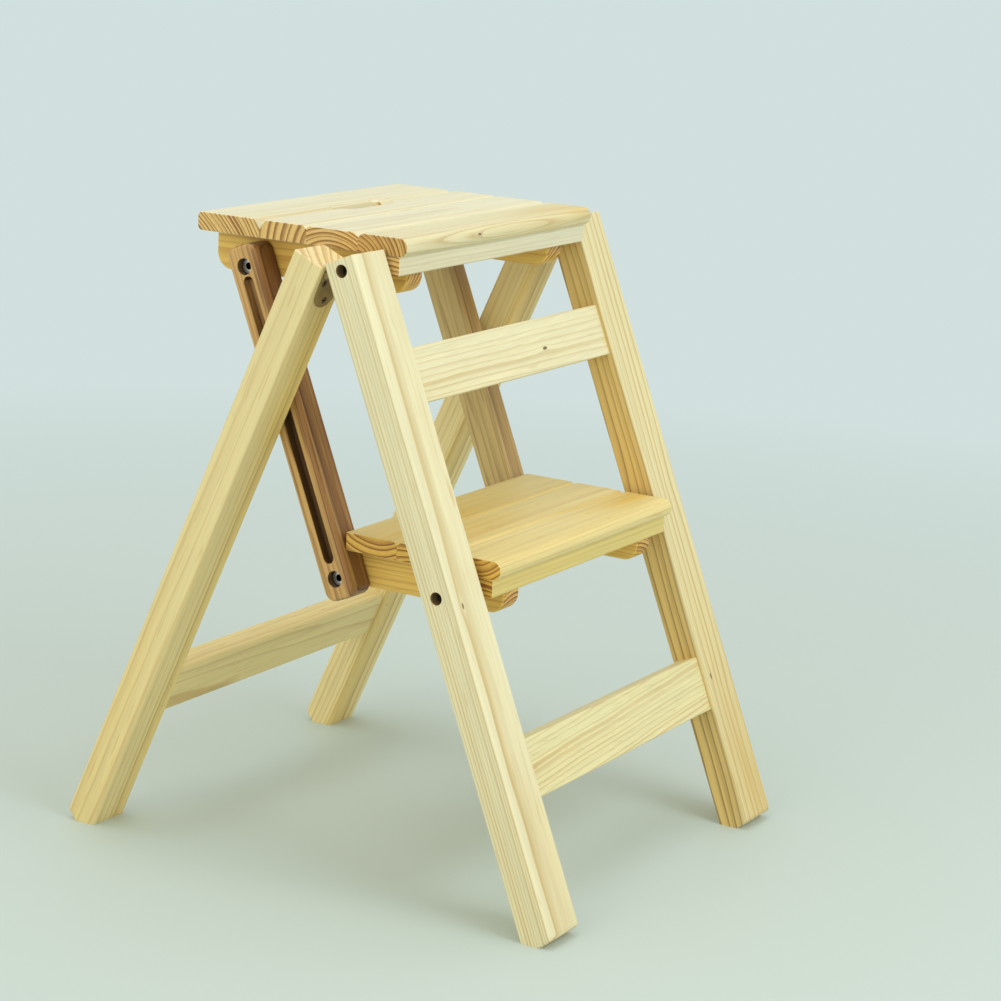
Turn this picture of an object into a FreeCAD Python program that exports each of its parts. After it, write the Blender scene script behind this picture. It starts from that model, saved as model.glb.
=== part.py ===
"""Folding two-step wooden stool: a hinged A-frame with a seat and a step on side links.

Millimetres, X to the right seen from the front, Y to the back, Z up, floor at Z = 0.
The stool stands open, as it is used.
"""
import math
import os

import FreeCAD
import Part

# overall frame
FRONT_WIDTH = 380.0
REAR_WIDTH = 386.0
FRONT_TILT = 22.1
REAR_TILT = 23.25
FRONT_LEG_WIDTH = 44.0
REAR_LEG_WIDTH = 40.0
LEG_DEPTH = 28.5
LEG_TOP_DROP = 9.0
LEG_ROUNDING = 2.5
TOE_ROUNDING = 5.0
TOP_CHAMFER = 0.7

# feet: the sharp toe is cut back so that it does not splinter
FRONT_TOE_SETBACK = 13.0
FRONT_TOE_HEIGHT = 8.0
REAR_CORNER_DROP = 21.9
REAR_TOE_SETBACK = 10.0
REAR_TOE_HEIGHT = 9.0

# rails
RAIL_THICKNESS = 20.0
RAIL_RECESS = 4.5
RAIL_ROUNDING = 1.2
UPPER_RAIL_HEIGHT = 44.0
UPPER_RAIL_DROP = 100.0
LOWER_RAIL_HEIGHT = 47.0
LOWER_RAIL_ALONG = 134.5
REAR_RAIL_HEIGHT = 45.0
REAR_RAIL_ALONG = 139.0
REAR_RAIL_RECESS = 3.0
REAR_RAIL_ROUNDING = 4.0
DOWEL_DIAMETER = 8.0
DOWEL_LENGTH = 34.0
DOWEL_SPACING = 22.0

# seat and step boards; each seam is its distance from the nose, the half width and the
# depth of its V groove
BOARD_THICKNESS = 15.0
SEAT_TOP = 519.5
SEAT_DEPTH = 201.0
SEAT_SEAMS = ((46.0, 4.0, 3.0), (95.0, 3.0, 2.5), (140.0, 5.5, 7.5))
STEP_TOP = 280.0
STEP_SEAMS = ((48.0, 3.0, 2.5), (96.0, 3.0, 2.5))
SEAT_BACK_ROUNDING = 4.0
STEP_BACK_ROUNDING = 1.0
END_ROUNDING = 1.0

# front lip under each nose
LIP_SETBACK = 7.0
LIP_THICKNESS = 13.0
LIP_HEIGHT = 15.0
LIP_ROUNDING = 1.5

# brads that pin the dowels of the rear rail, driven from the front of the leg
BRAD_DIAMETER = 1.8
BRAD_LENGTH = 20.0
BRAD_SINK = 0.6
BRAD_INSET = 8.0

# hand hole
HAND_HOLE_SETBACK = 139.0
HAND_HOLE_LENGTH = 72.0
HAND_HOLE_WIDTH = 22.0
HAND_HOLE_ROUNDING = 2.0

# battens
BATTEN_THICKNESS = 22.0
BATTEN_HEIGHT = 33.0
SEAT_BATTEN_SETBACK = 14.0
SEAT_BATTEN_SHORT = 2.5
STEP_BATTEN_SETBACK = 8.0
STEP_BATTEN_END = 14.4
BATTEN_CORNER = 14.0
BATTEN_ROUNDING = 2.0

# pivots: below the top of the boards, back from the front face of the leg, behind the
# nose, and from the pivot in the leg to the one in the link as (Y, Z)
PIVOT_DROP = 23.0
PIVOT_ACROSS = 14.25
SEAT_PIVOT_SETBACK = 28.0
STEP_PIVOT_SETBACK = 26.7
LINK_OFFSET = (123.4, -15.9)

# side links
LINK_THICKNESS = 25.0
LINK_WIDTH = 28.0
LINK_END = 17.5
LINK_CORNER = 9.0
LINK_ROUNDING = 3.0
GROOVE_WIDTH = 10.0
GROOVE_DEPTH = 8.0
GROOVE_TOP_GAP = 8.0
GROOVE_BOTTOM_GAP = 13.0

# bolts, nuts, washers
LINK_BOLT = 8.0
LINK_HEAD = 13.0
LINK_HEAD_HEIGHT = 5.0
LINK_HEAD_DEPTH = 6.5
LINK_COUNTERBORE = 13.6
LEG_BOLT = 6.0
LEG_HEAD = 10.0
LEG_HEAD_HEIGHT = 6.0
LEG_HEAD_DEPTH = 9.0
LEG_COUNTERBORE = 10.4
WASHER_THICKNESS = 1.6
WASHER_DIAMETER = 17.0
SPACER_DIAMETER = 11.0
NUT_HEIGHT = 5.0
NUT_WASHER_THICKNESS = 1.6
LEG_NUT_FLATS = 10.0
LEG_WASHER_DIAMETER = 12.0
LINK_NUT_FLATS = 13.0
LINK_WASHER_DIAMETER = 16.0
NUT_CROWN = 0.98
LINK_HEX = 5.0
LEG_HEX = 5.0
HEX_DEPTH = 2.8
HEAD_CHAMFER = 0.6
BOLT_TIP = 1.5

# clearances
SEAT_SIDE_GAP = 3.5
STEP_SIDE_GAP = 5.5
LINK_SIDE_GAP = 7.0
SIDE_GAP = 0.3
RUNNING_FIT = 0.08
STOP_GAP = 0.3
HEAD_FIT = 0.2

# hinges between the leg tops
HINGE_WIDTH = 27.0
HINGE_LEAF = 1.6
HINGE_LENGTH = 30.5
HINGE_STANDOFF = 2.8
KNUCKLE_RADIUS = 2.6
PIN_RADIUS = 1.3
KNUCKLE_GAP = 0.3
HINGE_SCREWS = ((-9.0, 8.5), (9.0, 8.5), (0.0, 24.0))
SCREW_SHANK = 3.0
SCREW_HEAD = 6.0
SCREW_SINK = 1.5
SCREW_LENGTH = 18.0
SCREW_SLOT = 1.0
SCREW_SLOT_DEPTH = 0.8
SLOT_TURN = 8.0

# screws that hold the battens under the boards
BATTEN_SCREW_HOLE = 9.0
BATTEN_SCREW_DEPTH = 14.0
BATTEN_SCREW_HEAD = 7.0
BATTEN_SCREW_LENGTH = 27.0
SEAT_SCREW_FRONT = 57.0
SEAT_SCREW_BACK = 24.0
STEP_SCREW_FRONT = 63.0
STEP_SCREW_BACK = 25.0

# how far a cutting solid runs past a face, and how close counts as the same place
PAST = 1.0
SAME = 0.1

# worked out from the sizes above
A = math.radians(FRONT_TILT)
B = math.radians(REAR_TILT)
FRONT_OUTER_X = FRONT_WIDTH / 2.0
FRONT_INNER_X = FRONT_OUTER_X - FRONT_LEG_WIDTH
REAR_OUTER_X = REAR_WIDTH / 2.0
REAR_INNER_X = REAR_OUTER_X - REAR_LEG_WIDTH
SEAT_WIDTH = 2.0 * (FRONT_INNER_X - SEAT_SIDE_GAP)
STEP_WIDTH = 2.0 * (FRONT_INNER_X - STEP_SIDE_GAP)
LINK_OUTER_X = REAR_INNER_X - LINK_SIDE_GAP
LINK_INNER_X = LINK_OUTER_X - LINK_THICKNESS
BATTEN_OUTER_X = LINK_INNER_X - WASHER_THICKNESS - SIDE_GAP
BATTEN_INNER_X = BATTEN_OUTER_X - BATTEN_THICKNESS
HINGE_X = (REAR_OUTER_X + REAR_INNER_X) / 2.0
FRONT_LEG_LENGTH = (SEAT_TOP - LEG_TOP_DROP) / math.cos(A)
UPPER_RAIL_ALONG = FRONT_LEG_LENGTH - UPPER_RAIL_DROP

# both pivots sit on one line along the leg
PIVOT_LINE_Y = PIVOT_ACROSS / math.cos(A)
SEAT_PIVOT_Z = SEAT_TOP - PIVOT_DROP
SEAT_PIVOT = (PIVOT_LINE_Y + SEAT_PIVOT_Z * math.tan(A), SEAT_PIVOT_Z)
STEP_PIVOT_Z = STEP_TOP - PIVOT_DROP
STEP_PIVOT = (PIVOT_LINE_Y + STEP_PIVOT_Z * math.tan(A), STEP_PIVOT_Z)
SEAT_NOSE_Y = SEAT_PIVOT[0] - SEAT_PIVOT_SETBACK
SEAT_BACK_Y = SEAT_NOSE_Y + SEAT_DEPTH
STEP_NOSE_Y = STEP_PIVOT[0] - STEP_PIVOT_SETBACK
HAND_HOLE_Y = SEAT_NOSE_Y + HAND_HOLE_SETBACK
LINK_TOP = (SEAT_PIVOT[0] + LINK_OFFSET[0], SEAT_PIVOT[1] + LINK_OFFSET[1])
LINK_BOTTOM = (STEP_PIVOT[0] + LINK_OFFSET[0], STEP_PIVOT[1] + LINK_OFFSET[1])
SEAT_UNDERSIDE = SEAT_TOP - BOARD_THICKNESS
STEP_UNDERSIDE = STEP_TOP - BOARD_THICKNESS

# the back edge of the step is the stop for the links
LINK_FRONT_AT_STEP = (LINK_BOTTOM[0] + (STEP_UNDERSIDE - LINK_BOTTOM[1]) * math.tan(A)
                      - LINK_WIDTH / 2.0 / math.cos(A))
STEP_BACK_Y = LINK_FRONT_AT_STEP - STOP_GAP / math.cos(A)

# the top front corner of a rear leg is the stop for the rear frame
FRONT_REAR_FACE = LEG_DEPTH / math.cos(A)
REAR_CORNER_Z = SEAT_TOP - REAR_CORNER_DROP
REAR_CORNER_Y = (REAR_CORNER_Z * math.tan(A) + FRONT_REAR_FACE
                 + STOP_GAP / math.cos(A))
REAR_TOP_Y = REAR_CORNER_Y + LEG_DEPTH * math.cos(B)
REAR_TOP_Z = REAR_CORNER_Z + LEG_DEPTH * math.sin(B)
REAR_FOOT_Y = REAR_TOP_Y + REAR_TOP_Z * math.tan(B)
REAR_LEG_LENGTH = REAR_TOP_Z / math.cos(B)

# battens, and the screws in them
SEAT_BATTEN_FRONT_Y = SEAT_NOSE_Y + SEAT_BATTEN_SETBACK
SEAT_BATTEN_BACK_Y = SEAT_BACK_Y - SEAT_BATTEN_SHORT
STEP_BATTEN_FRONT_Y = STEP_NOSE_Y + STEP_BATTEN_SETBACK
STEP_BATTEN_BACK_Y = LINK_BOTTOM[0] + STEP_BATTEN_END
FIRST_SEAT_SCREW_Y = SEAT_NOSE_Y + SEAT_SCREW_FRONT
LAST_SEAT_SCREW_Y = SEAT_BACK_Y - SEAT_SCREW_BACK
SEAT_SCREW_Y = (FIRST_SEAT_SCREW_Y, (FIRST_SEAT_SCREW_Y + LAST_SEAT_SCREW_Y) / 2.0,
                LAST_SEAT_SCREW_Y)
STEP_SCREW_Y = (STEP_NOSE_Y + STEP_SCREW_FRONT, STEP_BACK_Y - STEP_SCREW_BACK)

# where the bolt heads, tips and nuts sit across the width
BATTEN_SCREW_X = (BATTEN_INNER_X + BATTEN_OUTER_X) / 2.0
LEG_BOLT_HEAD_X = FRONT_OUTER_X - LEG_HEAD_DEPTH
NUT_FACE_X = BATTEN_INNER_X - SIDE_GAP - NUT_WASHER_THICKNESS
LEG_BOLT_TIP_X = NUT_FACE_X - NUT_HEIGHT - BOLT_TIP
LINK_BOLT_HEAD_X = LINK_OUTER_X - LINK_HEAD_DEPTH
LINK_NUT_FACE_X = BATTEN_INNER_X - NUT_WASHER_THICKNESS
LINK_BOLT_TIP_X = LINK_NUT_FACE_X - NUT_HEIGHT - BOLT_TIP

# hinge pin: the same distance from the back of the front leg and the front of the rear leg
PIN_FRONT = LEG_DEPTH + HINGE_STANDOFF
PIN_REAR = REAR_FOOT_Y * math.cos(B) - LEG_DEPTH - HINGE_STANDOFF
PIN_Y = (PIN_FRONT * math.sin(B) + PIN_REAR * math.sin(A)) / math.sin(A + B)
PIN_Z = (PIN_REAR * math.cos(A) - PIN_FRONT * math.cos(B)) / math.sin(A + B)


def vec(x, y, z):
    return FreeCAD.Vector(x, y, z)


def block(x0, x1, y0, y1, z0, z1):
    return Part.makeBox(x1 - x0, y1 - y0, z1 - z0, vec(x0, y0, z0))


def rod_x(x0, x1, y, z, radius):
    """Round bar along X between x0 and x1."""
    return Part.makeCylinder(radius, x1 - x0, vec(x0, y, z), vec(1, 0, 0))


def along_front(shape):
    """From upright on the floor to the slope of the front legs."""
    turned = shape.copy()
    turned.rotate(vec(0, 0, 0), vec(1, 0, 0), -FRONT_TILT)
    return turned


def along_rear(shape):
    """From upright on the floor to the slope of the rear legs."""
    turned = shape.copy()
    turned.rotate(vec(0, 0, 0), vec(1, 0, 0), REAR_TILT)
    turned.translate(vec(0, REAR_FOOT_Y, 0))
    return turned


def front_point(across, along):
    """Y and Z of a point given in the slope of the front legs."""
    return (across * math.cos(A) + along * math.sin(A),
            along * math.cos(A) - across * math.sin(A))


def front_coordinates(point):
    """Across and along the front legs for a point given as Y and Z."""
    return (point[0] * math.cos(A) - point[1] * math.sin(A),
            point[0] * math.sin(A) + point[1] * math.cos(A))


def mirrored(shape):
    return shape.mirror(vec(0, 0, 0), vec(1, 0, 0))


def side_profile(points, x0, x1):
    """Solid from a closed outline of Y, Z points, between x0 and x1."""
    corners = [vec(x0, y, z) for y, z in points]
    face = Part.Face(Part.makePolygon(corners + [corners[0]]))
    return face.extrude(vec(x1 - x0, 0, 0))


def edges_where(shape, test):
    return [edge for edge in shape.Edges if test(edge)]


def crosswise(edge):
    """True for a straight edge that runs along X."""
    span = edge.Vertexes[-1].Point - edge.Vertexes[0].Point
    return edge.Length > PAST and abs(abs(span.x) - edge.Length) < SAME


def at_height(edge, low, high):
    box = edge.BoundBox
    return box.ZMin >= low and box.ZMax <= high


def rail_end_dowels(side_x, across, along, spacing):
    """The two dowels of one right rail end, upright."""
    half = DOWEL_LENGTH / 2.0
    low = along - spacing / 2.0
    high = along + spacing / 2.0
    radius = DOWEL_DIAMETER / 2.0
    return [rod_x(side_x - half, side_x + half, across, low, radius),
            rod_x(side_x - half, side_x + half, across, high, radius)]


def front_dowels(along):
    across = RAIL_RECESS + RAIL_THICKNESS / 2.0
    pins = rail_end_dowels(FRONT_INNER_X, across, along, DOWEL_SPACING)
    return [along_front(pin) for pin in pins]


def rear_dowels():
    across = -LEG_DEPTH + REAR_RAIL_RECESS + RAIL_THICKNESS / 2.0
    pins = rail_end_dowels(REAR_INNER_X, across, REAR_RAIL_ALONG, DOWEL_SPACING)
    return [along_rear(pin) for pin in pins]


def brad(along, fill):
    """Right brad through a dowel of the rear rail; fill carries its hole to the surface."""
    depth = BRAD_SINK * (1.0 - fill)
    reach = BRAD_LENGTH + BRAD_SINK * fill
    start = vec(REAR_INNER_X + BRAD_INSET, -LEG_DEPTH + depth, along)
    return along_rear(Part.makeCylinder(BRAD_DIAMETER / 2.0, reach, start, vec(0, 1, 0)))


def brads(fill):
    half = DOWEL_SPACING / 2.0
    return [brad(REAR_RAIL_ALONG - half, fill), brad(REAR_RAIL_ALONG + half, fill)]


def leg_pivot_bores(pivot):
    """Counterbore and bolt hole through a right front leg."""
    sink = LEG_HEAD_DEPTH + LEG_HEAD_HEIGHT
    wide = rod_x(FRONT_OUTER_X - sink, FRONT_OUTER_X + PAST, pivot[0], pivot[1],
                 LEG_COUNTERBORE / 2.0)
    narrow = rod_x(FRONT_INNER_X - PAST, FRONT_OUTER_X, pivot[0], pivot[1], LEG_BOLT / 2.0)
    return [wide, narrow]


def eased_top(leg):
    """Small chamfer round the sawn top of a leg."""
    top = max(leg.Faces, key=lambda face: face.CenterOfMass.z)
    return leg.makeChamfer(TOP_CHAMFER, top.Edges)


def front_leg():
    """Right front leg: square top, sharp toe cut back, rounded long edges."""
    outline = [(FRONT_REAR_FACE, 0.0),
               (FRONT_TOE_SETBACK, 0.0),
               (FRONT_TOE_HEIGHT * math.tan(A), FRONT_TOE_HEIGHT),
               front_point(0.0, FRONT_LEG_LENGTH),
               front_point(LEG_DEPTH, FRONT_LEG_LENGTH)]
    leg = side_profile(outline, FRONT_INNER_X, FRONT_OUTER_X)
    low = 2.0 * FRONT_TOE_HEIGHT
    toe = edges_where(leg, lambda e: crosswise(e) and at_height(e, PAST, low))
    leg = leg.makeFillet(TOE_ROUNDING, toe)
    long_edges = edges_where(leg, lambda e: e.Length > FRONT_LEG_LENGTH / 2.0)
    leg = leg.makeFillet(LEG_ROUNDING, long_edges)
    leg = eased_top(leg)
    cuts = leg_pivot_bores(SEAT_PIVOT) + leg_pivot_bores(STEP_PIVOT)
    cuts += front_dowels(UPPER_RAIL_ALONG) + front_dowels(LOWER_RAIL_ALONG)
    cuts += front_hinge_screws()
    return leg.cut(cuts)


def rear_leg():
    """Right rear leg."""
    front_face = REAR_FOOT_Y - LEG_DEPTH / math.cos(B)
    outline = [(front_face, 0.0),
               (REAR_FOOT_Y - REAR_TOE_SETBACK, 0.0),
               (REAR_FOOT_Y - REAR_TOE_HEIGHT * math.tan(B), REAR_TOE_HEIGHT),
               (REAR_TOP_Y, REAR_TOP_Z),
               (REAR_CORNER_Y, REAR_CORNER_Z)]
    leg = side_profile(outline, REAR_INNER_X, REAR_OUTER_X)
    low = 2.0 * REAR_TOE_HEIGHT
    toe = edges_where(leg, lambda e: crosswise(e) and at_height(e, PAST, low))
    leg = leg.makeFillet(TOE_ROUNDING, toe)
    long_edges = edges_where(leg, lambda e: e.Length > REAR_LEG_LENGTH / 2.0)
    leg = leg.makeFillet(LEG_ROUNDING, long_edges)
    leg = eased_top(leg)
    cuts = rear_dowels() + rear_hinge_screws() + brads(1.0)
    return leg.cut(cuts)


def rail(half_span, across, along, height, rounding):
    """Upright rail between two legs, with rounded long edges."""
    bar = block(-half_span, half_span, across, across + RAIL_THICKNESS,
                along - height / 2.0, along + height / 2.0)
    return bar.makeFillet(rounding, edges_where(bar, crosswise))


def front_rail(along, height):
    bar = along_front(rail(FRONT_INNER_X, RAIL_RECESS, along, height, RAIL_ROUNDING))
    pins = front_dowels(along)
    return bar.cut(pins + [mirrored(pin) for pin in pins])


def rear_rail():
    across = -LEG_DEPTH + REAR_RAIL_RECESS
    bar = along_rear(rail(REAR_INNER_X, across, REAR_RAIL_ALONG, REAR_RAIL_HEIGHT,
                          REAR_RAIL_ROUNDING))
    pins = rear_dowels()
    return bar.cut(pins + [mirrored(pin) for pin in pins])


def board(y0, y1, top, width, front_groove, back_groove, nose, back_rounding):
    """One board of the seat or step, with its half of each V groove."""
    low = top - BOARD_THICKNESS
    radius = BOARD_THICKNESS / 2.0
    outline = []
    if nose:
        outline += [(y0 + radius, low), (y0 + radius, top)]
    else:
        outline += [(y0, low), (y0, top - front_groove[1]), (y0 + front_groove[0], top)]
    if back_rounding:
        outline += [(y1, top), (y1, low)]
    else:
        outline += [(y1 - back_groove[0], top), (y1, top - back_groove[1]), (y1, low)]
    plank = side_profile(outline, -width / 2.0, width / 2.0)
    if nose:
        plank = plank.fuse(rod_x(-width / 2.0, width / 2.0, y0 + radius, top - radius, radius))
        plank = plank.removeSplitter()
    if back_rounding:
        back = edges_where(plank, lambda e: crosswise(e) and e.BoundBox.YMin > y1 - SAME)
        plank = plank.makeFillet(back_rounding, back)
    ends = edges_where(plank, lambda e: exposed_end(e, y0, y1, width, nose, back_rounding))
    return plank.makeFillet(END_ROUNDING, ends)


def exposed_end(edge, y0, y1, width, nose, back_rounding):
    """True for an end edge of a board that isn't on a glued face."""
    box = edge.BoundBox
    at_end = abs(box.XMin) > width / 2.0 - SAME and box.XMax - box.XMin < SAME
    glued_front = not nose and box.YMax < y0 + SAME
    glued_back = not back_rounding and box.YMin > y1 - SAME
    return at_end and not glued_front and not glued_back


def hand_hole():
    """Rounded slot through the seat for carrying."""
    half = (HAND_HOLE_LENGTH - HAND_HOLE_WIDTH) / 2.0
    radius = HAND_HOLE_WIDTH / 2.0
    low = SEAT_UNDERSIDE - PAST
    height = BOARD_THICKNESS + 2.0 * PAST
    slot = block(-half, half, HAND_HOLE_Y - radius, HAND_HOLE_Y + radius, low, low + height)
    left = Part.makeCylinder(radius, height, vec(-half, HAND_HOLE_Y, low))
    right = Part.makeCylinder(radius, height, vec(half, HAND_HOLE_Y, low))
    return slot.fuse([left, right]).removeSplitter()


def hand_hole_flare():
    """Eased upper rim of the hand hole, as the solid to cut away."""
    half = (HAND_HOLE_LENGTH - HAND_HOLE_WIDTH) / 2.0
    radius = HAND_HOLE_WIDTH / 2.0
    ease = HAND_HOLE_ROUNDING
    low = SEAT_TOP - ease
    wide = radius + ease
    left = Part.makeCone(radius, wide, ease, vec(-half, HAND_HOLE_Y, low))
    right = Part.makeCone(radius, wide, ease, vec(half, HAND_HOLE_Y, low))
    outline = [(HAND_HOLE_Y - radius, low), (HAND_HOLE_Y - wide, SEAT_TOP),
               (HAND_HOLE_Y + wide, SEAT_TOP), (HAND_HOLE_Y + radius, low)]
    return side_profile(outline, -half, half).fuse([left, right])


def boards(seams, front_y, back_y, top, width, back_rounding):
    """Boards from the nose to the back edge."""
    planks = []
    starts = [None] + list(seams)
    stops = list(seams) + [None]
    for start, stop in zip(starts, stops):
        y0 = front_y if start is None else front_y + start[0]
        y1 = back_y if stop is None else front_y + stop[0]
        front_groove = None if start is None else start[1:]
        back_groove = None if stop is None else stop[1:]
        rounding = back_rounding if stop is None else 0.0
        planks.append(board(y0, y1, top, width, front_groove, back_groove,
                            start is None, rounding))
    return planks


def lip(front_y, underside, width):
    """Strip glued under the front board, set back from the nose."""
    strip = block(-width / 2.0, width / 2.0, front_y + LIP_SETBACK,
                  front_y + LIP_SETBACK + LIP_THICKNESS, underside - LIP_HEIGHT, underside)
    low = edges_where(strip, lambda e: crosswise(e)
                      and at_height(e, underside - LIP_HEIGHT - SAME, underside - PAST))
    return strip.makeFillet(LIP_ROUNDING, low)


def batten(y0, y1, underside, pivot, link_pivot, screw_ys, lip_back):
    """Right batten under the boards, bored for its pivot and its link."""
    low = underside - BATTEN_HEIGHT
    bar = block(BATTEN_INNER_X, BATTEN_OUTER_X, y0, y1, low, underside)
    corners = edges_where(bar, lambda e: crosswise(e) and at_height(e, low - SAME, low + SAME))
    bar = bar.makeFillet(BATTEN_CORNER, corners)
    rim = edges_where(bar, lambda e: not crosswise(e) and e.BoundBox.ZMin < underside - PAST
                      and e.BoundBox.ZMax < underside - PAST)
    bar = bar.makeFillet(BATTEN_ROUNDING, rim)
    notch = block(BATTEN_INNER_X - PAST, BATTEN_OUTER_X + PAST, y0 - PAST, lip_back,
                  underside - LIP_HEIGHT, underside + PAST)
    cuts = [notch,
            rod_x(BATTEN_INNER_X - PAST, BATTEN_OUTER_X + PAST, pivot[0], pivot[1],
                  LEG_BOLT / 2.0 + RUNNING_FIT),
            rod_x(BATTEN_INNER_X - PAST, BATTEN_OUTER_X + PAST, link_pivot[0], link_pivot[1],
                  LINK_BOLT / 2.0)]
    for y in screw_ys:
        cuts.append(Part.makeCylinder(BATTEN_SCREW_HOLE / 2.0, BATTEN_SCREW_DEPTH,
                                      vec(BATTEN_SCREW_X, y, low)))
        cuts.append(batten_screw(y, underside))
    return bar.cut(cuts)


def batten_screw(y, underside):
    """One countersunk screw from the foot of its bore up into the board."""
    start = underside - BATTEN_HEIGHT + BATTEN_SCREW_DEPTH
    head = BATTEN_SCREW_HEAD / 2.0
    shank = SCREW_SHANK / 2.0
    cone = Part.makeCone(head, shank, SCREW_SINK, vec(BATTEN_SCREW_X, y, start))
    stem = Part.makeCylinder(shank, BATTEN_SCREW_LENGTH, vec(BATTEN_SCREW_X, y, start))
    return cone.fuse(stem).removeSplitter()


def link():
    """Right side link: grooved bar with a counterbored bolt hole near each end."""
    across, top = front_coordinates(LINK_TOP)
    bottom = front_coordinates(LINK_BOTTOM)[1]
    half = LINK_WIDTH / 2.0
    bar = block(LINK_INNER_X, LINK_OUTER_X, across - half, across + half,
                bottom - LINK_END, top + LINK_END)
    bar = bar.makeFillet(LINK_CORNER, edges_where(bar, crosswise))
    outer = edges_where(bar, lambda e: e.BoundBox.XMin > LINK_OUTER_X - SAME)
    bar = bar.makeFillet(LINK_ROUNDING, outer)
    sink = LINK_HEAD_DEPTH + LINK_HEAD_HEIGHT + HEAD_FIT
    cuts = []
    for along in (bottom, top):
        cuts.append(rod_x(LINK_OUTER_X - sink, LINK_OUTER_X + PAST, across, along,
                          LINK_COUNTERBORE / 2.0))
        cuts.append(rod_x(LINK_INNER_X - PAST, LINK_OUTER_X, across, along,
                          LINK_BOLT / 2.0 + RUNNING_FIT))
    radius = GROOVE_WIDTH / 2.0
    low = bottom + GROOVE_BOTTOM_GAP + radius
    high = top - GROOVE_TOP_GAP - radius
    floor = LINK_OUTER_X - GROOVE_DEPTH
    cuts.append(block(floor, LINK_OUTER_X + PAST, across - radius, across + radius, low, high))
    cuts.append(rod_x(floor, LINK_OUTER_X + PAST, across, low, radius))
    cuts.append(rod_x(floor, LINK_OUTER_X + PAST, across, high, radius))
    return along_front(bar.cut(cuts))


def hex_prism(x0, x1, y, z, flats):
    """Hexagonal bar along X; flats is the width across flats."""
    radius = flats / math.sqrt(3.0)
    corners = []
    for i in range(6):
        turn = math.radians(60.0 * i)
        corners.append((y + radius * math.cos(turn), z + radius * math.sin(turn)))
    return side_profile(corners, x0, x1)


def socket_bolt(outer_x, inner_x, point, diameter, head, head_height, hexagon):
    """Socket-head bolt from its head face outer_x to its tip inner_x."""
    cap = rod_x(outer_x - head_height, outer_x, point[0], point[1], head / 2.0)
    rim = edges_where(cap, lambda e: e.BoundBox.XMin > outer_x - SAME)
    cap = cap.makeChamfer(HEAD_CHAMFER, rim)
    shank = rod_x(inner_x, outer_x - head_height, point[0], point[1], diameter / 2.0)
    socket = hex_prism(outer_x - HEX_DEPTH, outer_x + PAST, point[0], point[1], hexagon)
    return cap.fuse(shank).removeSplitter().cut(socket)


def nut(x1, point, bore, flats):
    """Hexagon nut whose outer face is at x1."""
    body = hex_prism(x1 - NUT_HEIGHT, x1, point[0], point[1], flats)
    crown_radius = NUT_CROWN * flats / 2.0
    crown = Part.makeCone(crown_radius, crown_radius + NUT_HEIGHT * math.sqrt(3.0),
                          NUT_HEIGHT, vec(x1 - NUT_HEIGHT, point[0], point[1]),
                          vec(1, 0, 0))
    hole = rod_x(x1 - NUT_HEIGHT - PAST, x1 + PAST, point[0], point[1], bore / 2.0)
    return body.common(crown).cut(hole)


def ring(x0, x1, point, outer, inner):
    return rod_x(x0, x1, point[0], point[1], outer / 2.0).cut(
        rod_x(x0 - PAST, x1 + PAST, point[0], point[1], inner / 2.0))


def leg_bolt(point):
    return socket_bolt(LEG_BOLT_HEAD_X, LEG_BOLT_TIP_X, point, LEG_BOLT, LEG_HEAD,
                       LEG_HEAD_HEIGHT, LEG_HEX)


def leg_spacer(point):
    """Tube on the bolt between a leg and a batten."""
    return ring(BATTEN_OUTER_X + SIDE_GAP, FRONT_INNER_X, point, SPACER_DIAMETER, LEG_BOLT)


def leg_nuts(point):
    washer = ring(NUT_FACE_X, NUT_FACE_X + NUT_WASHER_THICKNESS, point,
                  LEG_WASHER_DIAMETER, LEG_BOLT)
    return [washer, nut(NUT_FACE_X, point, LEG_BOLT, LEG_NUT_FLATS)]


def link_bolt(point):
    return socket_bolt(LINK_BOLT_HEAD_X, LINK_BOLT_TIP_X, point, LINK_BOLT, LINK_HEAD,
                       LINK_HEAD_HEIGHT, LINK_HEX)


def link_washer(point):
    return ring(BATTEN_OUTER_X, BATTEN_OUTER_X + WASHER_THICKNESS, point, WASHER_DIAMETER,
                LINK_BOLT)


def link_nuts(point):
    washer = ring(LINK_NUT_FACE_X, BATTEN_INNER_X, point, LINK_WASHER_DIAMETER, LINK_BOLT)
    return [washer, nut(LINK_NUT_FACE_X, point, LINK_BOLT, LINK_NUT_FLATS)]


def wood_screw():
    """Countersunk screw, head up at the origin, pointing down Z."""
    head = SCREW_HEAD / 2.0
    shank = SCREW_SHANK / 2.0
    cone = Part.makeCone(shank, head, SCREW_SINK, vec(0, 0, -SCREW_SINK))
    stem = Part.makeCylinder(shank, SCREW_LENGTH, vec(0, 0, -SCREW_LENGTH))
    return cone.fuse(stem).removeSplitter()


def screw_slot():
    return block(-SCREW_HEAD, SCREW_HEAD, -SCREW_SLOT / 2.0, SCREW_SLOT / 2.0,
                 -SCREW_SLOT_DEPTH, PAST)


def leaf_to_front(shape):
    """From flat, pin along X at the origin, to the back of a right front leg."""
    moved = shape.copy()
    moved.rotate(vec(0, 0, 0), vec(1, 0, 0), 90.0)
    moved.rotate(vec(0, 0, 0), vec(0, 0, 1), 180.0)
    moved.rotate(vec(0, 0, 0), vec(1, 0, 0), -FRONT_TILT)
    moved.translate(vec(HINGE_X, PIN_Y, PIN_Z))
    return moved


def leaf_to_rear(shape):
    """From flat, pin along X at the origin, to the front of a right rear leg."""
    moved = shape.copy()
    moved.rotate(vec(0, 0, 0), vec(1, 0, 0), 90.0)
    moved.rotate(vec(0, 0, 0), vec(1, 0, 0), REAR_TILT)
    moved.translate(vec(HINGE_X, PIN_Y, PIN_Z))
    return moved


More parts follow.
